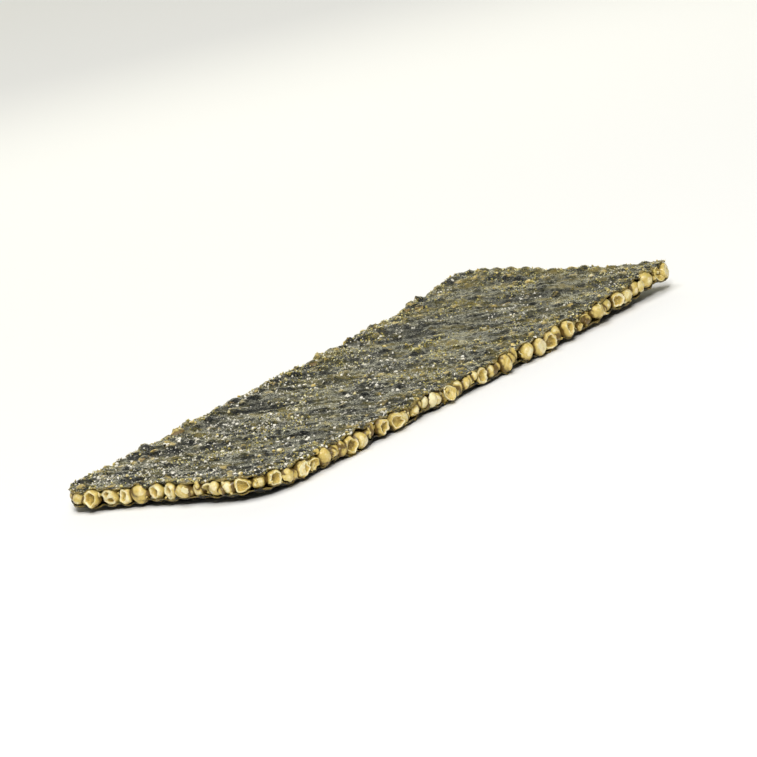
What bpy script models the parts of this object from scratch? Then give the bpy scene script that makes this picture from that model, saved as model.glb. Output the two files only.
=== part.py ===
"""A seaweed sandwich snack: two toasted seaweed sheets with one layer of puffed grains between them.

The piece lies flat. +X runs along its length to the end that curls up, +Y across it, +Z up.
The near end is at -X and the front edge at -Y. The origin is on the table, below the middle of
the piece. Both sheets and the grain layer follow one bent middle surface.
"""

import math
import random

import bmesh
import bpy
from mathutils import Matrix, Vector, noise

MM = 0.001

# Driving dimensions
LENGTH = 95 * MM
WIDTH = 35 * MM
SHEET_THICKNESS = 0.25 * MM
GRAIN_HEIGHT = 2.1 * MM  # the puffed grains are pressed a little flat between the sheets
GRAIN_WIDTH = 2.55 * MM
GLUE_GAP = 0.12 * MM  # between the grain layer and each sheet
CORNER_RADII = {  # by the signs of x and y
    (-1, 1): 4.5 * MM,
    (-1, -1): 6.5 * MM,
    (1, -1): 2.2 * MM,
    (1, 1): 3.0 * MM,
}

# The bend of the whole piece
FAR_END_RISE = 1.6 * MM
FAR_CURL_START = 0.1  # share of the half length where the curl begins
FAR_END_TWIST = 0.3  # the far end's back corner lifts more than its front one by this share
NEAR_END_RISE = 0.5 * MM
NEAR_CURL_START = 0.55
BACK_EDGE_RISE = 0.7 * MM  # the middle of the back edge arches up
BACK_ARCH_START = 0.1  # share of the half width where the arch begins
RIPPLE_HEIGHT = 0.27 * MM  # ripples run across the piece, a little slantwise
RIPPLE_PITCH = 11.5 * MM
RIPPLE_SLANT = 0.28
RIPPLE_DRIFT = 1.5  # radians by which the ripples wander from an even pitch
RIPPLE_DRIFT_RATE = 2.3
SWELL_LENGTH, SWELL_WIDTH = 30 * MM, 20 * MM  # size of the areas with higher or lower ripples
SWELL_MEAN, SWELL_RANGE = 0.65, 0.35
REST_FLAT_DEPTH = 0.15 * MM  # how far the lowest ripples are flattened by the table

# The unevenness of the cut edges
FLARE = 1.0 * MM  # the far end is wider than the near one by this much, all of it at the front
OUTLINE_WANDER = 1.0 * MM
OUTLINE_PITCH = 14 * MM
OUTLINE_REACH = 3  # power of the share of the half size: the wander fades towards the middle
EDGE_RAGGEDNESS = 0.45 * MM
EDGE_PITCH = 3.4 * MM
EDGE_SETBACK = 0.25  # share of the raggedness by which the edge lies inside its outline
END_RAG_REACH, SIDE_RAG_REACH = 24, 12  # powers of the share of the half length and half width

# The folds of each sheet
FOLD_HEIGHT = 0.18 * MM
FOLD_LENGTH = 13 * MM  # along a fold, which runs across the piece
FOLD_PITCH = 3.6 * MM
FOLD_SLANT, FOLD_SKEW = 0.35, 0.2
UPPER_FOLDS, LOWER_FOLDS = 0.7, 9.3  # places in the noise, so that the sheets differ
UPPER_RAGS, LOWER_RAGS = 11.0, 23.0

# The grain layer
CORE_INSET = 1.2 * MM
CORE_HEIGHT = 1.5 * MM
GRAIN_SPACING = 2.5 * MM
DEEPEST_GRAIN = 0.75 * MM  # how far the outermost point of a grain may stay inside the cut edge
PROUDEST_GRAIN = 0.30 * MM
GRAIN_WIDTHS = (0.86, 1.08)  # least and most, as shares of GRAIN_WIDTH
GRAIN_HEIGHTS = (0.84, 0.97)  # and of GRAIN_HEIGHT
GRAIN_SLIP = 0.12  # share of the spacing by which a grain lies off its even place
GRAIN_LIFT = 0.8  # share of its free height that a grain may lie above or below the middle
GRAIN_TILT = 0.2  # slope of its facing
SHARE_CUT_OPEN = 0.2  # grains that the knife sliced, which show as rings
CUT_GRAIN_REACH = 0.6  # share of its radius from a sliced grain's middle to its cut
GRAIN_SEED = 7

# Outlines of a grain of unit radius, as (radius, height) pairs from pole to pole
WHOLE_GRAIN = [(0, -1), (0.88, -0.5), (0.88, 0.5), (0, 1)]
CUT_GRAIN = [(0, -1), (0.9, -0.5), (0.98, 0.2), (0.8, 0.62), (0.52, 0.62), (0.4, 0.0), (0, -0.12)]

# Mesh resolution
SHEET_CELLS = (42, 16)
CORE_CELLS = (27, 8)
GRAIN_SIDES = 7
OUTLINE_STEPS = 240


def ease(value):
    """Zero below nought, then a parabola."""
    return max(0.0, value) ** 2


def beyond(share, start):
    """How far a share of the half size lies past start: nought there and one at the edge."""
    return (share - start) / (1 - start)


def bend(x, y):
    """Height of the middle surface, from the curl of the ends, the arch of the back edge and the ripples."""
    along = x / (LENGTH / 2)
    across = y / (WIDTH / 2)
    far = FAR_END_RISE * ease(beyond(along, FAR_CURL_START)) * (1 + FAR_END_TWIST * across)
    near = NEAR_END_RISE * ease(beyond(-along, NEAR_CURL_START))
    back = BACK_EDGE_RISE * ease(beyond(across, BACK_ARCH_START)) * (1 - along**2)
    swell = SWELL_MEAN + SWELL_RANGE * noise.noise(Vector((x / SWELL_LENGTH, y / SWELL_WIDTH, 4.1)))
    turns = (x + RIPPLE_SLANT * y) / RIPPLE_PITCH
    phase = 2 * math.pi * turns + RIPPLE_DRIFT * math.sin(RIPPLE_DRIFT_RATE * along)
    return far + near + back - RIPPLE_HEIGHT * swell * math.cos(phase)


def fold(x, y, folds):
    """Height of a sheet's folds, which run mostly across the piece and stand out from the grain layer."""
    place = Vector(((x + FOLD_SLANT * y) / FOLD_PITCH, (y - FOLD_SKEW * x) / FOLD_LENGTH, folds))
    return FOLD_HEIGHT * abs(noise.noise(place))


def uneven_rectangle(u, v, inset=0.0, rags=None):
    """Point for u and v from -1 to 1 of a rectangle with round corners and uneven edges."""
    half_x = LENGTH / 2 - inset
    half_y = WIDTH / 2 - inset
    x, y = half_x * u, half_y * v
    radius = CORNER_RADII[1 if x > 0 else -1, 1 if y > 0 else -1] - inset / 2
    over_x = (abs(x) - (half_x - radius)) / radius
    over_y = (abs(y) - (half_y - radius)) / radius
    if over_x > 0 and over_y > 0:  # maps the square corner onto a quarter disc
        x = math.copysign(half_x - radius + radius * over_x * math.sqrt(1 - over_y**2 / 2), x)
        y = math.copysign(half_y - radius + radius * over_y * math.sqrt(1 - over_x**2 / 2), y)
    shift_x = OUTLINE_WANDER * noise.noise(Vector((y / OUTLINE_PITCH, math.copysign(2.0, u), 1.3)))
    shift_y = OUTLINE_WANDER * noise.noise(Vector((x / OUTLINE_PITCH, math.copysign(5.0, v), 2.7)))
    x += shift_x * abs(u) ** OUTLINE_REACH
    y += shift_y * abs(v) ** OUTLINE_REACH
    y -= FLARE * (u + 1) / 2 * (1 - v) / 2
    if rags is not None:
        rag_x = noise.noise(Vector((y / EDGE_PITCH, math.copysign(1.5, u), rags))) - EDGE_SETBACK
        rag_y = noise.noise(Vector((x / EDGE_PITCH, math.copysign(3.5, v), rags))) - EDGE_SETBACK
        x += EDGE_RAGGEDNESS * rag_x * math.copysign(abs(u) ** END_RAG_REACH, u)
        y += EDGE_RAGGEDNESS * rag_y * math.copysign(abs(v) ** SIDE_RAG_REACH, v)
    return x, y


def outline(shape):
    """Points round the edge of a shape that is a function of u and v, starting at the near front corner."""
    corners = [(-1, -1), (1, -1), (1, 1), (-1, 1)]
    shares = [i / OUTLINE_STEPS for i in range(OUTLINE_STEPS)]
    sides = zip(corners, corners[1:] + corners[:1])
    return [shape(u0 + (u1 - u0) * s, v0 + (v1 - v0) * s) for (u0, v0), (u1, v1) in sides for s in shares]


def box_middle(points):
    """Middle of the points' box, as x and y."""
    return [(min(values) + max(values)) / 2 for values in zip(*points)]


OFF_X, OFF_Y = box_middle(outline(uneven_rectangle))


def plan(u, v, inset=0.0, rags=None):
    """Point of the piece's plan for u and v from -1 to 1, with the middle of its box at the origin."""
    x, y = uneven_rectangle(u, v, inset, rags)
    return x - OFF_X, y - OFF_Y


def lowest_underside():
    """The lowest level of the lower sheet's folds, counted from the middle surface's rest level."""
    steps = 60
    shares = [2 * i / steps - 1 for i in range(steps + 1)]
    points = [plan(u, v) for u in shares for v in shares]
    return min(bend(x, y) - fold(x, y, LOWER_FOLDS) for x, y in points)


HALF_LAYER = GRAIN_HEIGHT / 2 + GLUE_GAP
REST_LEVEL = HALF_LAYER + SHEET_THICKNESS - lowest_underside() - REST_FLAT_DEPTH


def middle_height(x, y):
    """Height over the table of the middle of the grain layer."""
    return REST_LEVEL + bend(x, y)


def food_material(name, colour, roughness):
    material = bpy.data.materials.new(name)
    material.use_nodes = True
    shader = material.node_tree.nodes["Principled BSDF"]
    shader.inputs["Base Color"].default_value = (*colour, 1)
    shader.inputs["Roughness"].default_value = roughness
    shader.inputs["Metallic"].default_value = 0.0
    material.diffuse_color = (*colour, 1)
    return material


def add_object(name, builder, material):
    mesh = bpy.data.meshes.new(name)
    builder.to_mesh(mesh)
    builder.free()
    mesh.materials.append(material)
    made = bpy.data.objects.new(name, mesh)
    bpy.context.scene.collection.objects.link(made)
    return made


def slab(cells, lower_point, upper_point):
    """A closed slab over a grid of cells. Both faces are split into triangles alike."""
    builder = bmesh.new()
    along, across = cells
    lower, upper = [
        [
            [builder.verts.new(point(2 * i / along - 1, 2 * j / across - 1)) for j in range(across + 1)]
            for i in range(along + 1)
        ]
        for point in (lower_point, upper_point)
    ]
    for i in range(along):
        for j in range(across):
            near, right, far, left = (i, j), (i + 1, j), (i + 1, j + 1), (i, j + 1)
            for corners in ((near, right, far), (near, far, left)):
                builder.faces.new([upper[a][b] for a, b in corners])
                builder.faces.new([lower[a][b] for a, b in reversed(corners)])
    rim = [(i, 0) for i in range(along)]
    rim += [(along, j) for j in range(across)]
    rim += [(i, across) for i in range(along, 0, -1)]
    rim += [(0, j) for j in range(across, 0, -1)]
    for (a, b), (c, d) in zip(rim, rim[1:] + rim[:1]):
        builder.faces.new((lower[a][b], lower[c][d], upper[c][d]))
        builder.faces.new((lower[a][b], upper[c][d], upper[a][b]))
    return builder


def top_sheet(material):
    def face_point(rise):
        def point(u, v):
            x, y = plan(u, v, rags=UPPER_RAGS)
            return x, y, middle_height(x, y) + HALF_LAYER + fold(x, y, UPPER_FOLDS) + rise

        return point

    return add_object("top_sheet", slab(SHEET_CELLS, face_point(0), face_point(SHEET_THICKNESS)), material)


def bottom_sheet(material):
    """The lower sheet. Where its folds would go below the table, its underside is pressed flat."""

    def upper_point(u, v):
        x, y = plan(u, v, rags=LOWER_RAGS)
        return x, y, middle_height(x, y) - HALF_LAYER - fold(x, y, LOWER_FOLDS)

    def underside_point(u, v):
        x, y, height = upper_point(u, v)
        return x, y, max(0.0, height - SHEET_THICKNESS)

    return add_object("bottom_sheet", slab(SHEET_CELLS, underside_point, upper_point), material)


def cut_edge(spacing):
    """Points and outward directions at even spacing round the cut edge."""
    loop = [Vector(point) for point in outline(plan)]
    lengths = [(after - here).length for here, after in zip(loop, loop[1:] + loop[:1])]
    count = round(sum(lengths) / spacing)
    step = sum(lengths) / count
    found = []
    travelled = 0.0
    for i, length in enumerate(lengths):
        while len(found) < count and len(found) * step < travelled + length:
            tangent = (loop[(i + 1) % len(loop)] - loop[i]).normalized()
            place = loop[i] + tangent * (len(found) * step - travelled)
            found.append((place, Vector((tangent.y, -tangent.x))))
        travelled += length
    return found


def spun(profile, sides):
    """A closed body of revolution about Z. The profile's first and last points are on the axis."""
    builder = bmesh.new()
    first = builder.verts.new((0, 0, profile[0][1]))
    last = builder.verts.new((0, 0, profile[-1][1]))
    turns = [2 * math.pi * k / sides for k in range(sides)]
    rings = [
        [builder.verts.new((radius * math.cos(t), radius * math.sin(t), height)) for t in turns]
        for radius, height in profile[1:-1]
    ]
    for k in range(sides):
        after = (k + 1) % sides
        builder.faces.new((first, rings[0][after], rings[0][k]))
        builder.faces.new((last, rings[-1][k], rings[-1][after]))
        for lower, upper in zip(rings, rings[1:]):
            builder.faces.new((lower[k], lower[after], upper[after], upper[k]))
    return builder


def edge_grain(place, outward, draw):
    """One puffed grain at the cut edge, whole or sliced open, with its pit facing outward."""
    is_cut = draw.random() < SHARE_CUT_OPEN
    width = GRAIN_WIDTH * draw.uniform(*GRAIN_WIDTHS)
    height = GRAIN_HEIGHT * draw.uniform(*GRAIN_HEIGHTS)
    proud = draw.uniform(-DEEPEST_GRAIN, PROUDEST_GRAIN)
    reach = width / 2 * (CUT_GRAIN_REACH if is_cut else 1.0)
    tangent = Vector((-outward.y, outward.x))
    centre = place + outward * (proud - reach)
    centre += tangent * draw.uniform(-GRAIN_SLIP, GRAIN_SLIP) * GRAIN_SPACING
    lift = (GRAIN_HEIGHT - height) / 2 * draw.uniform(-GRAIN_LIFT, GRAIN_LIFT)
    facing = Vector((outward.x, outward.y, draw.uniform(-GRAIN_TILT, GRAIN_TILT)))
    turn = facing.to_track_quat("Z", "Y").to_matrix().to_4x4()
    spin = Matrix.Rotation(draw.uniform(0, 2 * math.pi), 4, "Z")
    squash = Matrix.Diagonal((width / 2, width / 2, height / 2, 1))
    move = Matrix.Translation((centre.x, centre.y, middle_height(centre.x, centre.y) + lift))
    builder = spun(CUT_GRAIN if is_cut else WHOLE_GRAIN, GRAIN_SIDES)
    builder.transform(move @ squash @ turn @ spin)
    return builder


def grain_layer(material):
    """The layer of grains: a core slab with the grains of the cut edge fused on."""

    def core_point(side):
        def point(u, v):
            x, y = plan(u, v, inset=CORE_INSET)
            return x, y, middle_height(x, y) + side * CORE_HEIGHT / 2

        return point

    layer = add_object("grain_layer", slab(CORE_CELLS, core_point(-1), core_point(1)), material)
    grains = bpy.data.collections.new("edge grains")
    bpy.context.scene.collection.children.link(grains)
    draw = random.Random(GRAIN_SEED)
    for number, (place, outward) in enumerate(cut_edge(GRAIN_SPACING)):
        grain = add_object(f"edge_grain_{number}", edge_grain(place, outward, draw), material)
        bpy.context.scene.collection.objects.unlink(grain)
        grains.objects.link(grain)
    union = layer.modifiers.new("fuse the edge grains", "BOOLEAN")
    union.operation = "UNION"
    union.operand_type = "COLLECTION"
    union.collection = grains
    union.solver = "EXACT"
    bpy.context.view_layer.objects.active = layer
    bpy.ops.object.modifier_apply(modifier=union.name)
    for grain in list(grains.objects):
        bpy.data.objects.remove(grain)
    bpy.data.collections.remove(grains)
    return layer


def main():
    for old in list(bpy.data.objects):
        bpy.data.objects.remove(old)
    seaweed = food_material("toasted seaweed", (0.035, 0.036, 0.022), 0.55)
    puffed = food_material("puffed grain", (0.72, 0.50, 0.20), 0.6)
    top_sheet(seaweed)
    bottom_sheet(seaweed)
    grain_layer(puffed)


main()
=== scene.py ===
# A seaweed sandwich snack: puffed grains glued between two sheets of toasted seaweed.
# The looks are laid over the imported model, in metres, with +X along the piece and +Z up.
import math
import random

import bmesh
import bpy
import numpy as np
from mathutils import Matrix, Vector, noise


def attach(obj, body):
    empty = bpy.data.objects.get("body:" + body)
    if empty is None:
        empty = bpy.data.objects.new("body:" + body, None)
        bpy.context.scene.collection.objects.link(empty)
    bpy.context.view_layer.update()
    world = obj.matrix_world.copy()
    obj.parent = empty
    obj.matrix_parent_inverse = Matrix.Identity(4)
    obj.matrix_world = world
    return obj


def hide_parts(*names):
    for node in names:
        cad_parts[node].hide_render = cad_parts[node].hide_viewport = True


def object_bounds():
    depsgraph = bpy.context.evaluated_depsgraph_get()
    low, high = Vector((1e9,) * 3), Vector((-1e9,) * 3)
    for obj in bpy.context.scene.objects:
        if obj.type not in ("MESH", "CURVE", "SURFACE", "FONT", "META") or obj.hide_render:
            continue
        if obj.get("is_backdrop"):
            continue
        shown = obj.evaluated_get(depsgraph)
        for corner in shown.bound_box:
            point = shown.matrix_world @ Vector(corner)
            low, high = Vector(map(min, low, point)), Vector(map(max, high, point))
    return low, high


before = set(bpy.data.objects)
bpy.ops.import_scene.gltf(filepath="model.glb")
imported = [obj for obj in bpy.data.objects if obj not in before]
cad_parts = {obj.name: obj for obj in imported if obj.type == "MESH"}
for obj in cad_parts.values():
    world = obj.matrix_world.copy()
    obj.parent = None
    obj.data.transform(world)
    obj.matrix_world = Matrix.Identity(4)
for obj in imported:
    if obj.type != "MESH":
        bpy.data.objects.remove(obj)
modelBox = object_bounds()
mm = 0.001
fullTurn = 6.3  # radians, near enough to turn a bit at random
print("model loaded:", ", ".join(sorted(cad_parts)))

# The form that the sheets and the grains share, the same as the model's
snack = {
    "length": 95 * mm,
    "width": 35 * mm,
    "sheetThickness": 0.25 * mm,
    "glueGap": 0.12 * mm,
    "cornerRadii": {(-1, 1): 4.5 * mm, (-1, -1): 6.5 * mm, (1, -1): 2.2 * mm, (1, 1): 3.0 * mm},
    "farEndRise": 1.6 * mm,
    "farCurlStart": 0.1,
    "farEndTwist": 0.3,
    "nearEndRise": 0.5 * mm,
    "nearCurlStart": 0.55,
    "backEdgeRise": 0.7 * mm,
    "backArchStart": 0.1,
    "rippleHeight": 0.27 * mm,
    "ripplePitch": 11.5 * mm,
    "rippleSlant": 0.28,
    "rippleDrift": 1.5,
    "rippleDriftRate": 2.3,
    "swellSize": (30 * mm, 20 * mm),
    "swellMean": 0.65,
    "swellRange": 0.35,
    "restFlatDepth": 0.15 * mm,
    "flare": 1.0 * mm,
    "outlineWander": 1.0 * mm,
    "outlinePitch": 14 * mm,
    "outlineReach": 3,
    "edgeRaggedness": 0.45 * mm,
    "edgePitch": 3.4 * mm,
    "edgeSetback": 0.25,
    "endRagReach": 24,
    "sideRagReach": 12,
    "foldHeight": 0.18 * mm,
    "foldLength": 13 * mm,
    "foldPitch": 3.6 * mm,
    "foldSlant": 0.35,
    "foldSkew": 0.2,
    "upperFolds": 0.7,
    "lowerFolds": 9.3,
    "upperRags": 11.0,
    "lowerRags": 23.0,
}
halfLength, halfWidth = snack["length"] / 2, snack["width"] / 2

# Where the puffed grains lie: down to the seed, the edge row's places are the model's
grains = {
    "height": 2.1 * mm,
    "width": 2.55 * mm,
    "spacing": 2.5 * mm,
    "deepest": 0.75 * mm,
    "proudest": 0.30 * mm,
    "widths": (0.86, 1.08),
    "heights": (0.84, 0.97),
    "slip": 0.12,
    "lift": 0.8,
    "tilt": 0.2,
    "shareCutOpen": 0.2,
    "cutReach": 0.6,
    "seed": 7,
    "outward": 0.25 * mm,
    "cornerTuck": 0.7 * mm,  # how much further in they sit at the corners
    "cornerReach": 12,  # a power: the higher, the closer to the corner it starts
    "swell": 1.18,  # real grains fill the gap to the sheets that the model leaves
    "sheetGap": 0.02 * mm,
    "secondRowInset": 2.5 * mm,
    "fieldInset": 4.2 * mm,
    "fieldJitter": 0.75 * mm,
    "fieldSizes": (0.80, 1.02),
    "fieldMissing": 0.12,
    "innerSeed": 41,
    "loosePitch": 0.5 * mm,  # places round the edge for small grains, crumbs and shells
    "looseClearance": 0.06 * mm,
    "looseLevels": (0.25, 1.0),  # shares of the room above and below the middle
}

smallGrain = {
    "count": 190,
    "slack": 3,  # places round the edge that each may slip on by
    "sizes": (1.0 * mm, 1.75 * mm),
    "shapes": (0.85, 1.15),
    "depths": (-0.7 * mm, 0.1 * mm),
    "clearOfCut": 1.5 * mm,
    "seed": 24,
}


def eased(share, start=0.0):  # nought up to the start, then ever steeper
    return max(0.0, (share - start) / (1 - start)) ** 2


def waver(x, y, z):  # smooth noise between about -1 and 1
    return noise.noise(Vector((x, y, z)))


def bend(x, y):  # the curl of the ends, the arch of the back edge and the ripples
    along, across = x / halfLength, y / halfWidth
    far = snack["farEndRise"] * eased(along, snack["farCurlStart"])
    far *= 1 + snack["farEndTwist"] * across
    near = snack["nearEndRise"] * eased(-along, snack["nearCurlStart"])
    back = snack["backEdgeRise"] * eased(across, snack["backArchStart"]) * (1 - along**2)
    swellLength, swellWidth = snack["swellSize"]
    swell = waver(x / swellLength, y / swellWidth, 4.1)
    swell = snack["swellMean"] + snack["swellRange"] * swell
    turns = (x + snack["rippleSlant"] * y) / snack["ripplePitch"]
    drift = snack["rippleDrift"] * math.sin(snack["rippleDriftRate"] * along)
    return far + near + back - snack["rippleHeight"] * swell * math.cos(2 * math.pi * turns + drift)


def fold(x, y, folds):
    across = (x + snack["foldSlant"] * y) / snack["foldPitch"]
    along = (y - snack["foldSkew"] * x) / snack["foldLength"]
    return snack["foldHeight"] * abs(waver(across, along, folds))


def unevenRectangle(u, v, inset=0.0, rags=None):
    halfX, halfY = halfLength - inset, halfWidth - inset
    x, y = halfX * u, halfY * v
    radius = snack["cornerRadii"][1 if x > 0 else -1, 1 if y > 0 else -1] - inset / 2
    overX = (abs(x) - (halfX - radius)) / radius
    overY = (abs(y) - (halfY - radius)) / radius
    if overX > 0 and overY > 0:  # maps the square corner onto a quarter disc
        x = math.copysign(halfX - radius + radius * overX * math.sqrt(1 - overY**2 / 2), x)
        y = math.copysign(halfY - radius + radius * overY * math.sqrt(1 - overX**2 / 2), y)
    pitch = snack["outlinePitch"]  # each side and each end has its own slice of the noise
    shiftX = snack["outlineWander"] * waver(y / pitch, math.copysign(2.0, u), 1.3)
    shiftY = snack["outlineWander"] * waver(x / pitch, math.copysign(5.0, v), 2.7)
    x += shiftX * abs(u) ** snack["outlineReach"]
    y += shiftY * abs(v) ** snack["outlineReach"]
    y -= snack["flare"] * (u + 1) / 2 * (1 - v) / 2
    if rags is not None:
        pitch = snack["edgePitch"]
        ragX = waver(y / pitch, math.copysign(1.5, u), rags) - snack["edgeSetback"]
        ragY = waver(x / pitch, math.copysign(3.5, v), rags) - snack["edgeSetback"]
        x += snack["edgeRaggedness"] * ragX * math.copysign(abs(u) ** snack["endRagReach"], u)
        y += snack["edgeRaggedness"] * ragY * math.copysign(abs(v) ** snack["sideRagReach"], v)
    return x, y


def outline(shape, steps=240):  # points round the edge, from the near front corner
    corners = [(-1, -1), (1, -1), (1, 1), (-1, 1)]
    shares = [i / steps for i in range(steps)]
    sides = zip(corners, corners[1:] + corners[:1])
    return [shape(u0 + (u1 - u0) * s, v0 + (v1 - v0) * s) for (u0, v0), (u1, v1) in sides for s in shares]


edgePoints = outline(unevenRectangle)
offX, offY = [(min(values) + max(values)) / 2 for values in zip(*edgePoints)]


def plan(u, v, inset=0.0, rags=None):
    x, y = unevenRectangle(u, v, inset, rags)
    return x - offX, y - offY


def lowestUnderside(steps=60):
    shares = [2 * i / steps - 1 for i in range(steps + 1)]
    points = [plan(u, v) for u in shares for v in shares]
    return min(bend(x, y) - fold(x, y, snack["lowerFolds"]) for x, y in points)


halfLayer = grains["height"] / 2 + snack["glueGap"]
grainLimit = halfLayer - grains["sheetGap"]
restLevel = halfLayer + snack["sheetThickness"] - lowestUnderside() - snack["restFlatDepth"]


def middleHeight(x, y):
    return restLevel + bend(x, y)


def added(name, data):  # to the scene
    thing = bpy.data.objects.new(name, data)
    bpy.context.scene.collection.objects.link(thing)
    return thing


def meshPiece(name, points, faces, finish, marks=None, smooth=True):
    mesh = bpy.data.meshes.new(name)
    mesh.from_pydata(np.asarray(points).tolist(), [], faces, shade_flat=not smooth)
    for label, values in (marks or {}).items():  # numbers for the finish to read at each point
        mesh.attributes.new(label, "FLOAT", "POINT").data.foreach_set("value", np.asarray(values, np.float32))
    mesh.materials.append(finish)
    return added(name, mesh)


def joined(name, bits, finish, smooth=True):  # bits of points, faces and browning with painted shade, in one piece
    faces = []
    total = 0
    for points, ownFaces, _ in bits:
        faces += [[total + corner for corner in face] for face in ownFaces]
        total += len(points)
    points, toastAndShade = [np.concatenate([bit[k] for bit in bits]) for k in (0, 2)]
    return meshPiece(name, points, faces, finish, {"toastAndShade": toastAndShade}, smooth)


def node(tree, kind, inputs=None, **settings):
    made = tree.nodes.new(kind)
    for setting, value in settings.items():
        setattr(made, setting, value)
    for socket, value in (inputs or {}).items():
        if isinstance(value, bpy.types.NodeSocket):
            tree.links.new(value, made.inputs[socket])
        else:
            made.inputs[socket].default_value = value
    return made


def newFinish(name, **constants):
    finish = bpy.data.materials.new(name)
    finish.use_nodes = True
    shader = finish.node_tree.nodes["Principled BSDF"]
    for socket, value in constants.items():
        shader.inputs[socket.replace("_", " ")].default_value = value
    return finish, finish.node_tree, shader


def fed(finish, shader, **patterns):
    for socket, pattern in patterns.items():
        finish.node_tree.links.new(pattern, shader.inputs[socket.replace("_", " ")])
    return finish


noiseMiddle = 0.5  # what a noise texture gives on average


def spots(tree, size, detail=4.0, roughness=0.55, turn=0.0, offset=0.0):  # noise, with its spots' size in mm
    place = node(tree, "ShaderNodeTexCoord").outputs["Object"]
    stretch = [1 / (s * mm) for s in size]
    moved = node(tree, "ShaderNodeMapping", {
        "Vector": place, "Rotation": (0, 0, turn), "Scale": stretch, "Location": (offset, offset, offset)})
    return node(tree, "ShaderNodeTexNoise", {
        "Vector": moved.outputs[0], "Scale": 1.0, "Detail": detail, "Roughness": roughness}).outputs["Fac"]


def between(tree, value, span, to=(0.0, 1.0)):  # value over its span, eased over to
    return node(tree, "ShaderNodeMapRange", {
        "Value": value, "From Min": span[0], "From Max": span[1], "To Min": to[0], "To Max": to[1]},
        interpolation_type="SMOOTHSTEP").outputs[0]


def maths(tree, operation, a, b, c=0.0, clamp=False):
    return node(tree, "ShaderNodeMath", {0: a, 1: b, 2: c}, operation=operation, use_clamp=clamp).outputs[0]


def mixed(tree, share, a, b):  # a where share is nought and b where it is one
    a, b = [colour if isinstance(colour, bpy.types.NodeSocket) else (*colour, 1) for colour in (a, b)]
    return node(tree, "ShaderNodeMix", {0: share, 6: a, 7: b}, data_type="RGBA").outputs[2]


def mark(tree, name):
    return node(tree, "ShaderNodeAttribute", attribute_name=name).outputs["Fac"]


def bumped(tree, height, distance, strength=1.0, under=None):
    inputs = {"Height": height, "Distance": distance, "Strength": strength}
    if under is not None:
        inputs["Normal"] = under
    return node(tree, "ShaderNodeBump", inputs).outputs[0]


# Colours of toasted seaweed, their patterns, and the spans over which they set in
seaweed = {
    "darkest": (0.004, 0.005, 0.003),
    "slate": (0.022, 0.0235, 0.017),
    "olive": (0.068, 0.062, 0.017),
    "tan": (0.200, 0.162, 0.050),
    "gold": (0.62, 0.47, 0.15),
    "edgeGoldAndGlow": (0.34, 0.245, 0.055),
    "powder": (0.42, 0.40, 0.31),
    "mottle": ((1.1, 1.5, 1.1), 6, 0.72),  # size in mm, detail, roughness, turn and offset
    "tone": ((1.0, 2.4, 2.0), 5, 0.7, 0.1, 4.4),
    "fibre": ((0.30, 2.6, 0.6), 5, 0.7, 0.12, 3.1),
    "patch": ((2.6, 6.5, 6.0), 6, 0.68, 0.15, 8.2),
    "thin": ((1.0, 1.5, 1.5), 3, 0.6, 0.1, 1.7),
    "speck": ((0.26, 0.30, 0.30), 2, 0.5, 0.0, 6.4),
    "slateSpan": (0.44, 0.58),
    "fibreInStreak": 0.6,
    "mottleInStreak": 0.5,
    "goldenTowardsEnd": 0.7,  # what each metre towards the far end adds to a streak
    "oliveSpan": (0.75, 0.88),
    "tanSpan": (0.85, 0.97),
    "thinSpan": (0.50, 0.60),
    "thinPatchSpan": (0.40, 0.54),
    "overGrainSpan": (0.3, 0.8),
    "goldShare": 0.9,
    "edgeWander": 5 * mm,
    "edgeSpan": (-0.3 * mm, 0.5 * mm),
    "edgeShare": (0.8, 0.0),
    "powderSpan": (0.60, 0.66),
    "powderShare": (0.0, 0.85),
    "powderToneSpan": (0.46, 0.56),
    "glossSpan": (0.38, 0.64),
    "roughness": (0.12, 0.42),
    "mottleRelief": 0.6 * mm,
    "fibreRelief": 0.16 * mm,
}


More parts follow.
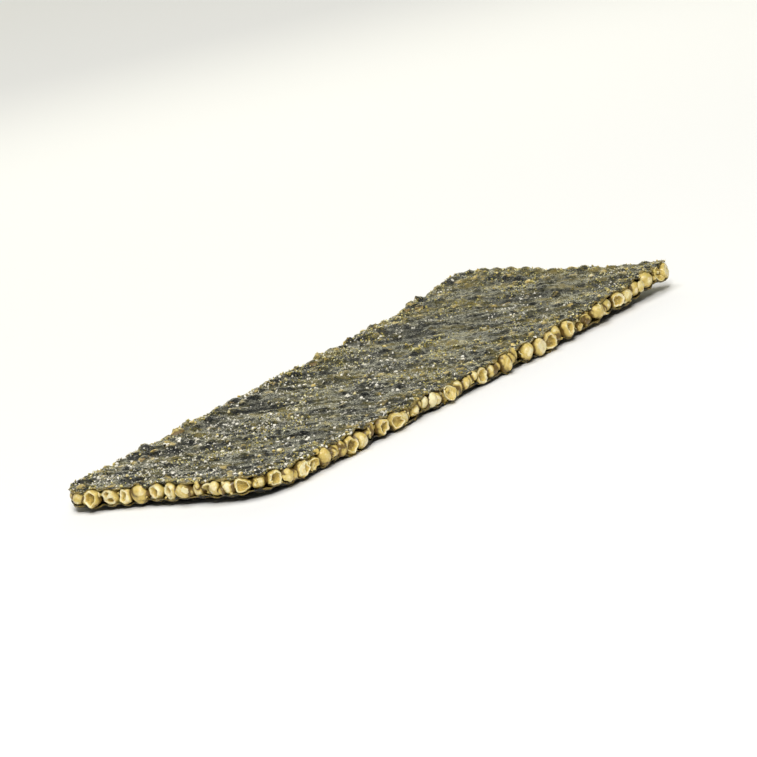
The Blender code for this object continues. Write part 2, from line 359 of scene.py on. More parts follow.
def seaweedFinish():
    finish, tree, shader = newFinish("toastedSeaweed", Metallic=0.0, IOR=1.5, Specular_IOR_Level=0.4)
    patterns = [spots(tree, *seaweed[name]) for name in ("mottle", "tone", "fibre", "patch", "thin", "speck")]
    mottle, tone, fibre, patch, thin, speck = patterns
    base = mixed(tree, between(tree, tone, seaweed["slateSpan"]), seaweed["darkest"], seaweed["slate"])

    # olive and tan streaks along the fibres, more of them towards the far end
    streak = maths(tree, "MULTIPLY_ADD", fibre, seaweed["fibreInStreak"], patch)
    blotch = maths(tree, "SUBTRACT", mottle, noiseMiddle)
    streak = maths(tree, "MULTIPLY_ADD", blotch, seaweed["mottleInStreak"], streak)
    split = node(tree, "ShaderNodeSeparateXYZ", {0: node(tree, "ShaderNodeTexCoord").outputs["Object"]})
    streak = maths(tree, "MULTIPLY_ADD", split.outputs["X"], seaweed["goldenTowardsEnd"], streak)
    base = mixed(tree, between(tree, streak, seaweed["oliveSpan"]), base, seaweed["olive"])
    base = mixed(tree, between(tree, streak, seaweed["tanSpan"]), base, seaweed["tan"])

    # gold where it is thin over a grain, and along the cut edge gold that is partly toasting and partly a
    # painted glow of light shining through the thin edge
    overGrain = between(tree, mark(tree, "overGrain"), seaweed["overGrainSpan"])
    thinSpot = maths(tree, "MULTIPLY", between(tree, thin, seaweed["thinSpan"]), overGrain)
    thinSpot = maths(tree, "MULTIPLY", thinSpot, between(tree, patch, seaweed["thinPatchSpan"]))
    base = mixed(tree, maths(tree, "MULTIPLY", thinSpot, seaweed["goldShare"]), base, seaweed["gold"])
    thinner = maths(tree, "SUBTRACT", thin, noiseMiddle)
    # painted glow of light through the thin cut edge, with its toasting
    rim = maths(tree, "MULTIPLY_ADD", thinner, seaweed["edgeWander"], mark(tree, "cutEdge"))
    rim = between(tree, rim, seaweed["edgeSpan"], seaweed["edgeShare"])
    base = mixed(tree, rim, base, seaweed["edgeGoldAndGlow"])

    # specks of seasoning powder
    powdered = between(tree, speck, seaweed["powderSpan"], seaweed["powderShare"])
    powdered = maths(tree, "MULTIPLY", powdered, between(tree, tone, seaweed["powderToneSpan"]))
    base = mixed(tree, powdered, base, seaweed["powder"])
    gloss = between(tree, tone, seaweed["glossSpan"], seaweed["roughness"])
    relief = bumped(tree, mottle, seaweed["mottleRelief"])
    relief = bumped(tree, fibre, seaweed["fibreRelief"], under=relief)
    return fed(finish, shader, Base_Color=base, Roughness=gloss, Normal=relief)


# Colours of puffed grain, from its pale foam to the dark syrup and painted shade in its creases and gaps
puffed = {
    "pale": (0.98, 0.88, 0.54),
    "amber": (0.69, 0.52, 0.135),
    # the darkest colour stands for syrup and for painted shade
    "syrupAndShade": (0.148, 0.088, 0.011),
    "blotch": ((0.9, 0.9, 0.9), 4, 0.6),  # size in mm, detail, roughness, turn and offset
    "pore": ((0.16, 0.16, 0.16), 3, 0.6, 0.0, 5.0),
    "blotchMiddle": 0.45,
    "blotchStrength": 0.9,
    "amberSpan": (0.0, 0.45),
    "syrupSpan": (0.45, 0.95),
    "glossSpan": (0.35, 0.65),
    "roughness": (0.38, 0.62),
    "blotchRelief": (0.25 * mm, 0.8),  # height and strength
    "poreRelief": (0.13 * mm, 0.9),
}


def grainFinish(name, look):
    finish, tree, shader = newFinish(
        name, Metallic=0.0, IOR=1.48, Coat_Weight=0.45, Coat_Roughness=0.16,
        Subsurface_Weight=0.12, Subsurface_Radius=(1.0, 0.6, 0.25), Subsurface_Scale=0.6 * mm)
    blotch = spots(tree, *look["blotch"])
    pore = spots(tree, *look["pore"])
    browner = maths(tree, "SUBTRACT", blotch, look["blotchMiddle"])
    # random browning, with the painted shade that the mark carries
    brownedAndShaded = maths(tree, "MULTIPLY_ADD", browner, look["blotchStrength"], mark(tree, "toastAndShade"), clamp=True)
    base = mixed(tree, between(tree, brownedAndShaded, look["amberSpan"]), look["pale"], look["amber"])
    base = mixed(tree, between(tree, brownedAndShaded, look["syrupSpan"]), base, look["syrupAndShade"])
    gloss = between(tree, blotch, look["glossSpan"], look["roughness"])
    relief = bumped(tree, blotch, *look["blotchRelief"])
    relief = bumped(tree, pore, *look["poreRelief"], relief)
    return fed(finish, shader, Base_Color=base, Roughness=gloss, Normal=relief)


crystal = {
    "white": (0.94, 0.93, 0.88),
    "cream": (0.90, 0.83, 0.62),
    "tint": ((1.5, 1.5, 1.5), 2),
    "glossSpan": (0.3, 0.7),
    "roughness": (0.2, 0.45),
}


def crystalFinish():
    finish, tree, shader = newFinish(
        "seasoningCrystal", Metallic=0.0, IOR=1.54, Specular_IOR_Level=0.6, Transmission_Weight=0.1)
    tint = spots(tree, *crystal["tint"])
    base = mixed(tree, tint, crystal["white"], crystal["cream"])
    gloss = between(tree, tint, crystal["glossSpan"], crystal["roughness"])
    return fed(finish, shader, Base_Color=base, Roughness=gloss)


def edgePlaces(spacing, inset=0.0):  # even places and outward directions round the edge
    loop = [Vector(point) for point in outline(lambda u, v: plan(u, v, inset))]
    lengths = [(after - here).length for here, after in zip(loop, loop[1:] + loop[:1])]
    count = round(sum(lengths) / spacing)
    step = sum(lengths) / count
    found = []
    travelled = 0.0
    for i, length in enumerate(lengths):
        while len(found) < count and len(found) * step < travelled + length:
            tangent = (loop[(i + 1) % len(loop)] - loop[i]).normalized()
            place = loop[i] + tangent * (len(found) * step - travelled)
            found.append((place, Vector((tangent.y, -tangent.x))))
        travelled += length
    return found


def roundTheEdge(kind, draw):  # a place for each of this kind, all of them slipped on a little
    places = edgePlaces(grains["loosePitch"])
    for k in range(kind["count"]):
        yield places[(k * len(places) // kind["count"] + draw.randint(0, kind["slack"])) % len(places)]


def threeDraws(draw, low, high):
    return [draw.uniform(low, high) for _ in range(3)]


def anyDirection(draw):
    return Vector([draw.gauss(0, 1) for _ in range(3)]).normalized()


def ownNoise(draw):  # a shift so large that no two bits share their lumps
    return Vector(threeDraws(draw, -50, 50))


def mostlySmall(span, power, draw):
    low, high = span
    return low + (high - low) * draw.random() ** power


def aboveOrBelow(size, draw):  # a level that keeps a loose bit between the sheets
    room = halfLayer - grains["looseClearance"] - size / 2
    return draw.choice((-1, 1)) * room * draw.uniform(*grains["looseLevels"])


def nearCutGrain(spot, reach):  # where small things would cover a sliced grain's face
    return any((grain["centre"].xy - spot).length < reach for grain in cutOpen)


def oneGrain(place, outward, draw):  # the draws come in the model's order
    isCut = draw.random() < grains["shareCutOpen"]
    width = grains["width"] * draw.uniform(*grains["widths"])
    height = grains["height"] * draw.uniform(*grains["heights"])
    proud = draw.uniform(-grains["deepest"], grains["proudest"])
    reach = width / 2 * (grains["cutReach"] if isCut else 1.0)
    tangent = Vector((-outward.y, outward.x))
    corner = abs(place.x * place.y / (halfLength * halfWidth)) ** grains["cornerReach"]
    centre = place + outward * (proud - reach + grains["outward"] - grains["cornerTuck"] * min(corner, 1.0))
    centre += tangent * draw.uniform(-grains["slip"], grains["slip"]) * grains["spacing"]
    lift = (grains["height"] - height) / 2 * draw.uniform(-grains["lift"], grains["lift"])
    facing = Vector((outward.x, outward.y, draw.uniform(-grains["tilt"], grains["tilt"])))
    spin = draw.uniform(0, 2 * math.pi)
    level = middleHeight(centre.x, centre.y) + lift
    return {
        "centre": Vector((centre.x, centre.y, level)),
        "lift": lift,
        "size": Vector((width, width, height * grains["swell"])) / 2,
        "facing": facing,
        "spin": spin,
        "isCut": isCut,
    }


def grainRows():
    draw = random.Random(grains["seed"])
    edgeRow = [oneGrain(place, outward, draw) for place, outward in edgePlaces(grains["spacing"])]
    draw = random.Random(grains["innerSeed"])
    places = edgePlaces(grains["spacing"], grains["secondRowInset"])
    secondRow = [oneGrain(place, outward, draw) for place, outward in places]
    field = []
    halfX, halfY = halfLength - grains["fieldInset"], halfWidth - grains["fieldInset"]
    rowPitch = grains["spacing"] * math.sqrt(3) / 2
    rows = int(2 * halfY / rowPitch)
    columns = int(2 * halfX / grains["spacing"])
    for j in range(rows + 1):
        for i in range(columns + 1):
            x = -halfX + (i + (j % 2) / 2) * grains["spacing"] + draw.uniform(-1, 1) * grains["fieldJitter"]
            y = -halfY + j * rowPitch + draw.uniform(-1, 1) * grains["fieldJitter"]
            grain = oneGrain(Vector((x, y)), Vector((1, 0)), draw)
            grain["centre"] = Vector((x, y, middleHeight(x, y) + grain["lift"]))
            grain["size"] *= draw.uniform(*grains["fieldSizes"])
            if draw.random() > grains["fieldMissing"]:
                field.append(grain)
    return edgeRow, secondRow, field


def smallRow():  # smaller ones that fill the gaps of the edge row
    draw = random.Random(smallGrain["seed"])
    found = []
    for place, outward in roundTheEdge(smallGrain, draw):
        size = draw.uniform(*smallGrain["sizes"])
        centre = place + outward * (draw.uniform(*smallGrain["depths"]) - size / 2)
        level = aboveOrBelow(size, draw)
        if nearCutGrain(centre, smallGrain["clearOfCut"]):
            continue
        found.append({
            "centre": Vector((centre.x, centre.y, middleHeight(centre.x, centre.y) + level)),
            "lift": level,
            "size": Vector([size / 2 * draw.uniform(*smallGrain["shapes"]) for _ in range(3)]),
            "facing": Vector((outward.x, outward.y, 0)),
            "spin": draw.uniform(0, 2 * math.pi),
        })
    return found


edgeRow, secondRow, field = grainRows()
whole = [grain for grain in edgeRow if not grain["isCut"]]
cutOpen = [grain for grain in edgeRow if grain["isCut"]]
smallOnes = smallRow()
print("grains placed:", len(edgeRow), "at the edge,", len(secondRow), "behind them,", len(field), "inside")


# A raster over the plan: how far the tops of the grains stand off the middle of the layer
raster = {
    "step": 0.2 * mm,
    "margin": 3 * mm,
    "lowest": 0.3 * mm,
    "spread": 1.12,
    "soften": 2,
}


def grainTops(side):
    step, margin = raster["step"], raster["margin"]
    columns = int((snack["length"] + 2 * margin) / step) + 1
    rows = int((snack["width"] + 2 * margin) / step) + 1
    lowX, lowY = -halfLength - margin, -halfWidth - margin
    tops = np.full((columns, rows), raster["lowest"])
    for grain in edgeRow + secondRow + field:
        x, y, _ = grain["centre"]
        radius = grain["size"].x * raster["spread"]
        i0, j0 = max(int((x - radius - lowX) / step), 0), max(int((y - radius - lowY) / step), 0)
        xs = lowX + step * np.arange(i0, min(int((x + radius - lowX) / step) + 2, columns))
        ys = lowY + step * np.arange(j0, min(int((y + radius - lowY) / step) + 2, rows))
        away = ((xs[:, None] - x) ** 2 + (ys[None, :] - y) ** 2) / radius**2
        cap = side * grain["lift"] + grain["size"].z * np.sqrt(np.clip(1 - away, 0, 1))
        view = tops[i0:i0 + len(xs), j0:j0 + len(ys)]
        np.maximum(view, np.minimum(cap, grainLimit), out=view)
    for _ in range(raster["soften"]):
        for axis in (0, 1):
            tops = (np.roll(tops, 1, axis) + 2 * tops + np.roll(tops, -1, axis)) / 4
    return tops, lowX, lowY


def readRaster(tops, x, y):
    heights, lowX, lowY = tops
    i = (x - lowX) / raster["step"]
    j = (y - lowY) / raster["step"]
    i0, j0 = i.astype(int), j.astype(int)
    a, b = i - i0, j - j0
    near = heights[i0, j0] * (1 - b) + heights[i0, j0 + 1] * b
    far = heights[i0 + 1, j0] * (1 - b) + heights[i0 + 1, j0 + 1] * b
    return near * (1 - a) + far * a


# A sheet's own form: it sags between the grains, wrinkles across the piece and frays at the edge
sheet = {
    "upperCells": (440, 156),
    "lowerCells": (320, 116),
    "upperSeed": 3.0,
    "lowerSeed": 17.0,
    "skin": 0.13 * mm,
    "leastSkin": 0.4,
    "mostStand": 0.01 * mm,
    "grainSag": 0.33 * mm,
    "edgeSag": 0.22 * mm,
    "edgeSagReach": 1.3 * mm,
    "drape": 0.05 * mm,
    "overGrainDepth": 0.45 * mm,
    "overGrainRange": 0.43 * mm,
    "wrinkle": (0.34 * mm, 3.1 * mm, 12 * mm, 0.25, 0.15),  # height, pitch, length, slant and skew
    "crease": (0.23 * mm, 1.7 * mm, 5 * mm, 0.2, 0.1),
    "ridgeSharpness": 3,
    "wrinkleMean": 0.6,
    "wrinkleRange": 0.6,
    "wrinkledAreas": (8 * mm, 11 * mm),
    "creaseMost": 1.3,
    "wander": 1.1 * mm,
    "wanderSize": (9 * mm, 6 * mm),
    "wanderInCrease": 0.6,
    "crumpleHeight": 0.09 * mm,
    "crumpleSize": 0.8 * mm,
    "crumpleNoise": (1.0, 2.0, 3),  # smoothness, how much finer each layer is, and how many
    "fringe": 0.50 * mm,
    "fringePitch": 2.1 * mm,
    "fringeNoise": (0.9, 2.1, 4),
    "fringeSetback": 0.36 * mm,
    "furthestTear": 0.25,
    "endFringeReach": 60,
    "sideFringeReach": 22,
    "cornerCalm": 0.7,
    "cornerReach": 10,
}


def fringe(u, v, x, y, seed):  # how far the torn edge is drawn in, over and above its rags
    pitch = sheet["fringePitch"]
    reachX = math.copysign(abs(u) ** sheet["endFringeReach"], u)
    reachY = math.copysign(abs(v) ** sheet["sideFringeReach"], v)
    tear = noise.fractal(Vector((x / pitch, y / pitch, seed)), *sheet["fringeNoise"])
    drawn = sheet["fringe"] * min(tear, sheet["furthestTear"]) - sheet["fringeSetback"]
    drawn *= 1 - sheet["cornerCalm"] * abs(u * v) ** sheet["cornerReach"]
    return drawn * reachX, drawn * reachY


def ridges(x, y, form, wander, seed):  # sharp ones, where the noise passes through nought
    height, pitch, length, slant, skew = form
    value = waver((x + slant * y + wander) / pitch, (y - skew * x) / length, seed)
    return height * max(1 - abs(2 * value), 0.0) ** sheet["ridgeSharpness"]


def wrinkles(x, y, seed):
    wanderLength, wanderWidth = sheet["wanderSize"]
    wander = sheet["wander"] * waver(x / wanderLength, y / wanderWidth, seed + 1)
    areaLength, areaWidth = sheet["wrinkledAreas"]
    strength = waver(x / areaLength, y / areaWidth, seed + 4)
    strength = sheet["wrinkleMean"] + sheet["wrinkleRange"] * strength
    folded = ridges(x, y, sheet["wrinkle"], wander, seed) * strength
    wander *= sheet["wanderInCrease"]
    folded += ridges(x, y, sheet["crease"], wander, seed + 2) * (sheet["creaseMost"] - strength)
    crumple = noise.fractal(Vector((x, y, seed * mm)) / sheet["crumpleSize"], *sheet["crumpleNoise"])
    return folded + sheet["crumpleHeight"] * crumple


def gridFaces(start, along, across):  # over a grid of points, whose rows run across
    columns = across + 1
    corner = start + (np.arange(along)[:, None] * columns + np.arange(across)).ravel()
    return np.column_stack([corner, corner + columns, corner + columns + 1, corner + 1]).tolist()


def turnedOver(faces):
    return [[first, *rest[::-1]] for first, *rest in faces]


def gridRim(along, across, step=1):  # places round the grid, in order
    there = [(i, 0) for i in range(0, along, step)] + [(along, j) for j in range(0, across, step)]
    return there + [(i, across) for i in range(along, 0, -step)] + [(0, j) for j in range(across, 0, -step)]


def sheetFaces(along, across):  # a fine outer face, an inner face of every second point, and the cut between
    columns = across + 1
    innerColumns = across // 2 + 1
    start = (along + 1) * columns
    faces = gridFaces(0, along, across) + turnedOver(gridFaces(start, along // 2, across // 2))
    rim = gridRim(along, across, 2)
    for (i, j), (nextI, nextJ) in zip(rim, rim[1:] + rim[:1]):
        outer = [a * columns + b for a, b in ((i, j), ((i + nextI) // 2, (j + nextJ) // 2), (nextI, nextJ))]
        inner = [start + a // 2 * innerColumns + b // 2 for a, b in ((nextI, nextJ), (i, j))]
        faces.append([outer[2], outer[1], outer[0], inner[1], inner[0]])
    return faces


def seaweedSheet(name, side, cells, folds, rags, seed, finish):
    along, across = cells
    places = []
    for i in range(along + 1):
        u = 2 * i / along - 1
        for j in range(across + 1):
            v = 2 * j / across - 1
            x, y = plan(u, v, rags=rags)
            drawnX, drawnY = fringe(u, v, x, y, seed)
            edge = min((1 - abs(u)) * halfLength, (1 - abs(v)) * halfWidth)
            x, y = x + drawnX, y + drawnY
            places.append((x, y, middleHeight(x, y), fold(x, y, folds) + wrinkles(x, y, seed), edge))
    x, y, middle, relief, edge = np.array(places).T
    sag = sheet["grainSag"] + sheet["edgeSag"] * np.clip(1 - edge / sheet["edgeSagReach"], 0, 1) ** 2
    tops = readRaster(grainTops(side), x, y)
    stand = np.logaddexp(tops / sheet["drape"], (halfLayer - sag) / sheet["drape"]) * sheet["drape"]
    stand = np.minimum(stand, halfLayer + sheet["mostStand"])
    outer = middle + side * (stand + sheet["skin"] + relief)
    inner = outer - side * sheet["skin"]
    if side < 0:
        outer = np.maximum(outer, 0.0)  # pressed flat where it lies on the table
        inner = np.maximum(inner, outer + sheet["leastSkin"] * sheet["skin"])
    overGrain = (tops - (halfLayer - sheet["overGrainDepth"])) / sheet["overGrainRange"]
    overGrain = np.clip(overGrain, 0, 1)
    shape = (along + 1, across + 1)
    every = (slice(None, None, 2), slice(None, None, 2))
    fine = np.column_stack([x, y, outer, overGrain, edge])
    coarse = [values.reshape(shape)[every].ravel() for values in (x, y, inner, overGrain, edge)]
    rows = np.concatenate([fine, np.column_stack(coarse)])
    faces = sheetFaces(along, across)
    if side < 0:
        faces = [face[::-1] for face in faces]
    piece = meshPiece(name, rows[:, :3], faces, finish, {"overGrain": rows[:, 3], "cutEdge": rows[:, 4]})
    return piece, fine[:, :3].reshape(*shape, 3)


# A puffed grain's blisters and fine bubbles, in shares of its size, and its tones: browner at random, darker
# with painted shade in its creases and on its underside
blister = {
    "bodySize": 0.86,
    "counts": (5, 9),
    "reaches": (0.30, 0.58),
    "sizes": (0.34, 0.58),
    "sharpness": 18,
    "creaseWidth": 0.10,
    "swell": 1.02,
    "bubbles": 150,
    "bubbleHeights": (0.0105, 0.035),
    "bubbleGap": 0.012,
    "gapSharpness": 1.5,
    "gapCrease": 0.45,
    "stretch": (0.80, 1.20),
    "yaw": 0.4,
    "bulge": 0.16 * mm,
    "bulgeReach": 0.8 * mm,
    "ownTone": 0.25,
    "ownToneShape": (1.8, 2.8),  # of a beta draw: the first smaller leaves more of them pale
    "creaseShade": 0.35,
    "undersideShade": 0.12,
}

# Dark syrup and painted shade round a grain: darker where it meets its neighbours and towards the inside
syrupAndShade = {
    "neighbourReach": 3.4 * mm,
    "reach": 1.45,
    "fade": 0.45,
    "atNeighbour": 0.90,
    "neighbourPower": 1.2,
    "inside": 0.66,
    "insidePower": 1.4,
}


def template(builder):  # points and faces of a bit that is used many times
    builder.verts.index_update()
    points = np.array([vert.co for vert in builder.verts])
    faces = [[vert.index for vert in face.verts] for face in builder.faces]
    builder.free()
    return points, faces


def ballTemplate(subdivisions):
    builder = bmesh.new()
    bmesh.ops.create_icosphere(builder, subdivisions=subdivisions, radius=1.0)
    return template(builder)


def blistered(directions, draw):  # how far out the skin is in each direction, and how deep in a crease
    reaches = np.full((len(directions), 1), blister["bodySize"])
    for _ in range(draw.randint(*blister["counts"])):
        offset = np.array(anyDirection(draw)) * draw.uniform(*blister["reaches"])
        size = draw.uniform(*blister["sizes"])
        towards = directions @ offset
        under = towards**2 - offset @ offset + size**2
        reach = np.where(under > 0, towards + np.sqrt(np.maximum(under, 0)), 0)
        reaches = np.column_stack([reaches, reach])
    smooth = np.log(np.exp(blister["sharpness"] * reaches).sum(1)) / blister["sharpness"]
    ranked = np.sort(reaches, 1)
    crease = np.clip(1 - (ranked[:, -1] - ranked[:, -2]) / blister["creaseWidth"], 0, 1)
    spread = np.random.default_rng(draw.randrange(10**6))
    bubbles = spread.normal(size=(blister["bubbles"], 3))
    bubbles /= np.linalg.norm(bubbles, axis=1)[:, None]
    closest = np.sort(directions @ bubbles.T, 1)[:, -2:]  # cosines to the two nearest bubbles
    gap = np.clip((closest[:, 1] - closest[:, 0]) / blister["bubbleGap"], 0, 1)
    rough = spread.uniform(*blister["bubbleHeights"])
    crease = np.maximum(crease, blister["gapCrease"] * (1 - gap))
    return smooth / smooth.mean() * blister["swell"] - rough * (1 - gap) ** blister["gapSharpness"], crease


def grainTurn(grain, draw):
    turn = grain["facing"].to_track_quat("Z", "Y").to_matrix() @ Matrix.Rotation(grain["spin"], 3, "Z")
    return np.array(Matrix.Rotation(draw.uniform(-1, 1) * blister["yaw"], 3, "Z") @ turn)


def pressed(points, grain):  # flat against the sheets, and free to bulge beyond them
    points = points * np.array(grain["size"])
    out = np.array(grain["facing"].xy.normalized())
    outside = np.clip(points[:, :2] @ out / blister["bulgeReach"], 0, 1)
    limit = grainLimit + blister["bulge"] * outside
    points[:, 2] = np.clip(points[:, 2], -limit - grain["lift"], limit - grain["lift"])
    return points + np.array(grain["centre"])


def syrupedAndShaded(points, grain):
    worst = np.zeros(len(points))
    for other in edgeRow + smallOnes + secondRow:
        apart = (other["centre"] - grain["centre"]).length
        if 0 < apart < syrupAndShade["neighbourReach"]:
            away = np.linalg.norm((points - np.array(other["centre"])) / np.array(other["size"]), axis=1)
            worst = np.maximum(worst, np.clip((syrupAndShade["reach"] - away) / syrupAndShade["fade"], 0, 1))
    arms = (points - np.array(grain["centre"])) / np.array(grain["size"])
    front = np.clip(arms @ np.array(grain["facing"].normalized()), 0, 1)
    # painted shade where neighbours meet and on the inward side, together with the dark syrup
    atNeighbour = syrupAndShade["atNeighbour"] * worst ** syrupAndShade["neighbourPower"]
    return atNeighbour + syrupAndShade["inside"] * (1 - front) ** syrupAndShade["insidePower"]


def wholeGrains(name, chosen, finish, subdivisions, seed):
    ball, ballFaces = ballTemplate(subdivisions)
    draw = random.Random(seed)
    bits = []
    for grain in chosen:
        tone = blister["ownTone"] * draw.betavariate(*blister["ownToneShape"])
        reach, crease = blistered(ball, draw)
        stretch = threeDraws(draw, *blister["stretch"])
        skin = (ball * reach[:, None] * stretch) @ grainTurn(grain, draw).T
        points = pressed(skin, grain)
        # painted shade in the creases and on the underside, over the random browning
        tone = tone + blister["creaseShade"] * crease + blister["undersideShade"] * np.clip(-skin[:, 2], 0, 1)
        bits.append((points, ballFaces, tone + syrupedAndShaded(points, grain)))
    return joined(name, bits, finish)


# A grain that the knife sliced, so that its cells show, in shares of its size
sliced = {
    "sides": 40,
    "wallSteps": 12,
    "faceSteps": 14,
    "cutLevel": 0.60,
    "lipRadius": 0.80,
    "lipWander": (0.22, 1.5),  # height and how often, as for the lumps below, coarse and fine
    "wallThickness": (0.09, 0.16),
    "wallSlope": 0.14,
    "hollowDepth": (0.35, 0.75),
    "cells": (1, 1, 1, 2, 3, 4),
    "cellSpread": 0.28,
    "cellRoom": 0.7,
    "bowl": 0.35,
    "skinLumps": ((0.12, 2.0), (0.06, 4.5)),
    "faceLumps": ((0.10, 2.3), (0.07, 6.0)),
    "flatShare": 0.5,  # of the fine lumps' height, where no cell is cut
    "ownTone": 0.20,
    "ownToneShape": (1.5, 3.2),
    "faceTone": 0.02,
    "hollowShade": 0.62,
    "palerAtLip": 0.3,
    "skinTone": 1.1,
}


def aroundRing(sides):
    return [(side, (side + 1) % sides) for side in range(sides)]


def bandFaces(first, rings, sides):  # between rings of points
    lows = [first + ring * sides for ring in range(rings - 1)]
    around = aroundRing(sides)
    return [[low + a, low + b, low + sides + b, low + sides + a] for low in lows for a, b in around]


def lipRadius(angle, shift):
    wander, often = sliced["lipWander"]
    wander *= noise.noise(Vector((math.cos(angle), math.sin(angle), 0.5)) * often + shift)
    return sliced["lipRadius"] * (1 + wander)


def cutFace(spot, cells, lip, wall, depth):  # height and hollowness at a spot of the sliced face
    gaps = sorted(math.dist(spot, cell) for cell in cells)
    room = lip - math.hypot(*spot)
    if len(gaps) > 1:
        room = min(room, sliced["cellRoom"] * (gaps[1] - gaps[0]))
    hollow = min(max((room - wall) / sliced["wallSlope"], 0.0), 1.0)
    hollow *= hollow * (3 - 2 * hollow)
    return sliced["cutLevel"] - depth * hollow * (1 - sliced["bowl"] * gaps[0] / lip), hollow


def slicedSkin(lips, around, shift):  # rings of points from the inner pole out to the cut, with no browning
    rise = math.pi / 2 + math.asin(sliced["cutLevel"])
    (large, seldom), (small, often) = sliced["skinLumps"]
    rows = [(0, 0, -1.0, 0.0)]
    for step in range(1, sliced["wallSteps"] + 1):
        lift = rise * step / sliced["wallSteps"] - math.pi / 2
        for angle, lip in zip(around, lips):
            radius = math.cos(lift) * (1 + (lip / sliced["lipRadius"] - 1) * step / sliced["wallSteps"])
            spot = Vector((radius * math.cos(angle), radius * math.sin(angle), math.sin(lift)))
            spot *= 1 + large * noise.noise(spot * seldom + shift) + small * noise.noise(spot * often - shift)
            rows.append((*spot, 0.0))
    return rows


def slicedFace(lipSpots, cells, wall, depth, shift):  # rings from the lip inwards, darker with painted shade in the hollows
    (large, seldom), (small, often) = sliced["faceLumps"]
    rows = []
    for step in range(1, sliced["faceSteps"] + 1):
        share = 1 - step / (sliced["faceSteps"] + 0.5)
        for lipX, lipY, lipZ, _ in lipSpots:
            x, y = lipX * share, lipY * share
            height, hollow = cutFace((x, y), cells, math.hypot(lipX, lipY), wall, depth)
            height += large * noise.noise(Vector((x, y, 0)) * seldom + 2 * shift)
            fine = small * noise.noise(Vector((x, y, 0)) * often + 3 * shift)
            height += fine * (sliced["flatShare"] + hollow)
            height += (lipZ - sliced["cutLevel"]) * share**2
            # painted shade in the hollows, paler towards the lip
            tone = sliced["hollowShade"] * hollow * (1 - sliced["palerAtLip"] * share)
            rows.append((x, y, height, sliced["faceTone"] + tone))
    middle = sum(row[2] for row in rows[-len(lipSpots):]) / len(lipSpots)
    return rows + [(0, 0, middle, rows[-1][3])]


def barrelFaces(rings, sides):  # a pole, rings of points and the other pole
    faces = bandFaces(1, rings, sides) + [[0, 1 + b, 1 + a] for a, b in aroundRing(sides)]
    last = 1 + (rings - 1) * sides
    return faces + [[last + sides, last + a, last + b] for a, b in aroundRing(sides)]


def slicedGrains(name, chosen, finish, seed):
    sides = sliced["sides"]
    draw = random.Random(seed)
    around = [2 * math.pi * k / sides for k in range(sides)]
    faces = barrelFaces(sliced["wallSteps"] + sliced["faceSteps"], sides)
    bits = []
    for grain in chosen:
        tone = sliced["ownTone"] * draw.betavariate(*sliced["ownToneShape"])
        shift = ownNoise(draw)
        wall = draw.uniform(*sliced["wallThickness"])
        depth = draw.uniform(*sliced["hollowDepth"])
        spread = sliced["cellSpread"]
        cells = [(draw.gauss(0, spread), draw.gauss(0, spread)) for _ in range(draw.choice(sliced["cells"]))]
        lips = [lipRadius(angle, shift) for angle in around]
        rows = slicedSkin(lips, around, shift)
        rows = np.array(rows + slicedFace(rows[-sides:], cells, wall, depth, shift))
        points = pressed(rows[:, :3] @ grainTurn(grain, draw).T, grain)
        skin = syrupedAndShaded(points, grain) * (rows[:, 3] == 0)
        bits.append((points, faces, tone + rows[:, 3] + sliced["skinTone"] * skin))
    return joined(name, bits, finish)


# Crumbs between and behind the grains of the edge
edgeCrumb = {
    "count": 300,
    "slack": 3,
    "subdivisions": 2,
    "sizes": (0.25 * mm, 0.85 * mm),
    "shapes": (0.5, 1.3),
    "depths": (-1.4 * mm, 0.1 * mm),
    "tones": (0.0, 0.5),
    "seed": 25,
}

chip = {
    "faces": 9,
    "depths": (0.42, 1.0),
    "sharpness": 20,
}


def broken(directions, draw):  # how far out the broken faces of a chip are in each direction
    sides = range(chip["faces"])
    normals = np.array([anyDirection(draw) for _ in sides])
    depths = np.array([draw.uniform(*chip["depths"]) for _ in sides])
    cut = np.maximum(directions @ normals.T / depths, 0)
    return ((cut ** chip["sharpness"]).sum(1) + 1) ** (-1 / chip["sharpness"])


def edgeCrumbs(name, finish):
    ball, ballFaces = ballTemplate(edgeCrumb["subdivisions"])
    draw = random.Random(edgeCrumb["seed"])
    bits = []
    for place, outward in roundTheEdge(edgeCrumb, draw):
        size = draw.uniform(*edgeCrumb["sizes"])
        spot = place + outward * (draw.uniform(*edgeCrumb["depths"]) - size / 2)
        level = middleHeight(spot.x, spot.y) + aboveOrBelow(size, draw)
        shape = np.array(threeDraws(draw, *edgeCrumb["shapes"])) * size / 2
        spin = Matrix.Rotation(draw.uniform(0, fullTurn), 3, Vector((draw.gauss(0, 1), draw.gauss(0, 1), 1)))
        crumb = (ball * broken(ball, draw)[:, None] * shape) @ np.array(spin).T + (spot.x, spot.y, level)
        bits.append((crumb, ballFaces, np.full(len(ball), draw.uniform(*edgeCrumb["tones"]))))
    return joined(name, bits, finish)


# Thin curved bits of burst skin
shell = {
    "count": 64,
    "slack": 5,
    "sizes": (0.85 * mm, 1.15 * mm),
    "thickness": 0.13 * mm,
    "rings": 7,
    "sides": 22,
    "openings": (0.7, 1.3),  # how far round they reach, in radians
    "tear": (0.35, 1.6),  # height and how often
    "tearNoise": (1.0, 2.0, 3),  # as for the sheets' crumples
    "lumps": (0.10, 2.5),
    "depths": (-0.5, 0.3),  # in mm
    "setBack": 0.3,  # these two in shares of its size
    "sunk": 0.5,
    "levels": 0.8,
    "lean": 0.7,
    "clearOfCut": 2.0 * mm,
    "outerTone": 0.12,
    "innerTone": 0.28,
    "tones": (-0.1, 0.15),
    "seed": 26,
}


